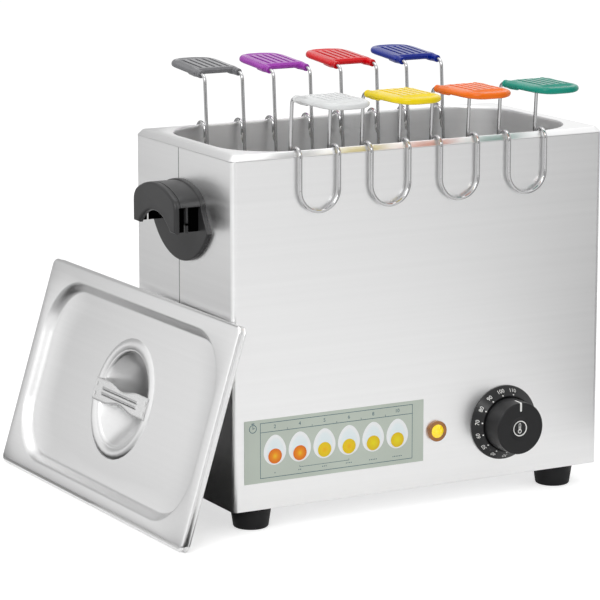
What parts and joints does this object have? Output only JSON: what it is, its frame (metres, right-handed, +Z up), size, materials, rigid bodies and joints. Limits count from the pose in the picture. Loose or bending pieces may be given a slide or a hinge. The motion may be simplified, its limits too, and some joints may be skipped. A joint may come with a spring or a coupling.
{
  "type": "commercial egg boiler",
  "caption": "Countertop electric egg boiler: brushed steel tank casing on rubber feet, colour-coded wire egg holders hooked over the rim, thermostat knob, side handles and a loose lid.",
  "frame": {"origin": "middle of the casing's footprint, on the counter under the feet", "axes": "+X to the right seen from the front, +Y to the back, +Z up; the controls face -Y"},
  "size_m": [0.4232, 0.3566, 0.3425],
  "materials": {
    "front_shell": "stainless sheet brushed along its length",
    "rear_shell": "stainless sheet brushed along its length",
    "base_plate": "plain zinc-plated sheet",
    "tank": "pressed stainless, satin inside, polished rim",
    "foot": "matt black rubber",
    "bright_metal": "plated steel",
    "handle": "satin black moulded plastic",
    "egg_chart_label": "satin printed film with a plain egg chart",
    "pilot_lamp_bezel": "amber brown plastic",
    "pilot_lamp_lens": "clear amber plastic",
    "pilot_lamp_nut": "black nylon",
    "dial_ring": "black plastic with plain white numbers and dots",
    "thermostat_body": "ceramic and moulded case",
    "thermostat_bulb": "copper bulb and capillary",
    "thermostat_knob": "satin black plastic with a white pointer",
    "heating_element": "heat-darkened steel tube",
    "safety_cutout": "phenolic body with a metal cap",
    "terminal_block": "ivory moulded block",
    "earth_stud": "bare brass",
    "cable_gland": "black nylon",
    "lid_sheet": "pressed stainless, soft satin",
    "lid_handle": "pressed stainless strip",
    "wire": "polished stainless wire",
    "holder_1_grip": "translucent white moulded plastic",
    "holder_2_grip": "yellow moulded plastic",
    "holder_3_grip": "orange moulded plastic",
    "holder_4_grip": "teal green moulded plastic",
    "holder_5_grip": "grey moulded plastic",
    "holder_6_grip": "purple moulded plastic",
    "holder_7_grip": "red moulded plastic",
    "holder_8_grip": "blue moulded plastic"
  },
  "bodies": {
    "root": {"front_shell": "front_shell", "rear_shell": "rear_shell", "base_plate": "base_plate", "tank": "tank", "foot_front_left": "foot", "foot_front_right": "foot", "foot_rear_left": "foot", "foot_rear_right": "foot", "foot_screws": "bright_metal", "left_handle": "handle", "right_handle": "handle", "handle_screws": "bright_metal", "egg_chart_label": "egg_chart_label", "pilot_lamp_bezel": "pilot_lamp_bezel", "pilot_lamp_lens": "pilot_lamp_lens", "pilot_lamp_nut": "pilot_lamp_nut", "dial_ring": "dial_ring", "thermostat_body": "thermostat_body", "thermostat_screws": "bright_metal", "thermostat_bulb": "thermostat_bulb", "bulb_clip": "bright_metal", "heating_element": "heating_element", "element_clamps": "bright_metal", "element_nuts": "bright_metal", "safety_cutout": "safety_cutout", "terminal_block": "terminal_block", "earth_stud": "earth_stud", "cable_gland": "cable_gland", "gland_nut": "cable_gland"},
    "knob": {"thermostat_knob": "thermostat_knob", "thermostat_shaft": "bright_metal"},
    "lid": {"lid_rim": "lid_sheet", "lid_floor": "lid_sheet", "lid_dish": "lid_sheet", "lid_handle": "lid_handle"},
    "holder_1": {"holder_1_wire": "wire", "holder_1_hook": "wire", "holder_1_grip": "holder_1_grip"},
    "holder_2": {"holder_2_wire": "wire", "holder_2_hook": "wire", "holder_2_grip": "holder_2_grip"},
    "holder_3": {"holder_3_wire": "wire", "holder_3_hook": "wire", "holder_3_grip": "holder_3_grip"},
    "holder_4": {"holder_4_wire": "wire", "holder_4_hook": "wire", "holder_4_grip": "holder_4_grip"},
    "holder_5": {"holder_5_wire": "wire", "holder_5_hook": "wire", "holder_5_grip": "holder_5_grip"},
    "holder_6": {"holder_6_wire": "wire", "holder_6_hook": "wire", "holder_6_grip": "holder_6_grip"},
    "holder_7": {"holder_7_wire": "wire", "holder_7_hook": "wire", "holder_7_grip": "holder_7_grip"},
    "holder_8": {"holder_8_wire": "wire", "holder_8_hook": "wire", "holder_8_grip": "holder_8_grip"}
  },
  "joints": [
    {"name": "knob_turn", "type": "hinge", "parent": "root", "child": "knob", "pos_m": [0.076, -0.083, 0.063], "axis": [0, -1, 0], "range_deg": [-13, 203]},
    {"name": "lid_lift", "type": "slide", "parent": "root", "child": "lid", "axis": [-0.7071, 0, 0.7071], "range_m": [0, 0.25]},
    {"name": "holder_1_lift", "type": "slide", "parent": "root", "child": "holder_1", "axis": [0, 0, 1], "range_m": [0, 0.17]},
    {"name": "holder_2_lift", "type": "slide", "parent": "root", "child": "holder_2", "axis": [0, 0, 1], "range_m": [0, 0.17]},
    {"name": "holder_3_lift", "type": "slide", "parent": "root", "child": "holder_3", "axis": [0, 0, 1], "range_m": [0, 0.17]},
    {"name": "holder_4_lift", "type": "slide", "parent": "root", "child": "holder_4", "axis": [0, 0, 1], "range_m": [0, 0.17]},
    {"name": "holder_5_lift", "type": "slide", "parent": "root", "child": "holder_5", "axis": [0, 0, 1], "range_m": [0, 0.17]},
    {"name": "holder_6_lift", "type": "slide", "parent": "root", "child": "holder_6", "axis": [0, 0, 1], "range_m": [0, 0.17]},
    {"name": "holder_7_lift", "type": "slide", "parent": "root", "child": "holder_7", "axis": [0, 0, 1], "range_m": [0, 0.17]},
    {"name": "holder_8_lift", "type": "slide", "parent": "root", "child": "holder_8", "axis": [0, 0, 1], "range_m": [0, 0.17]}
  ]
}
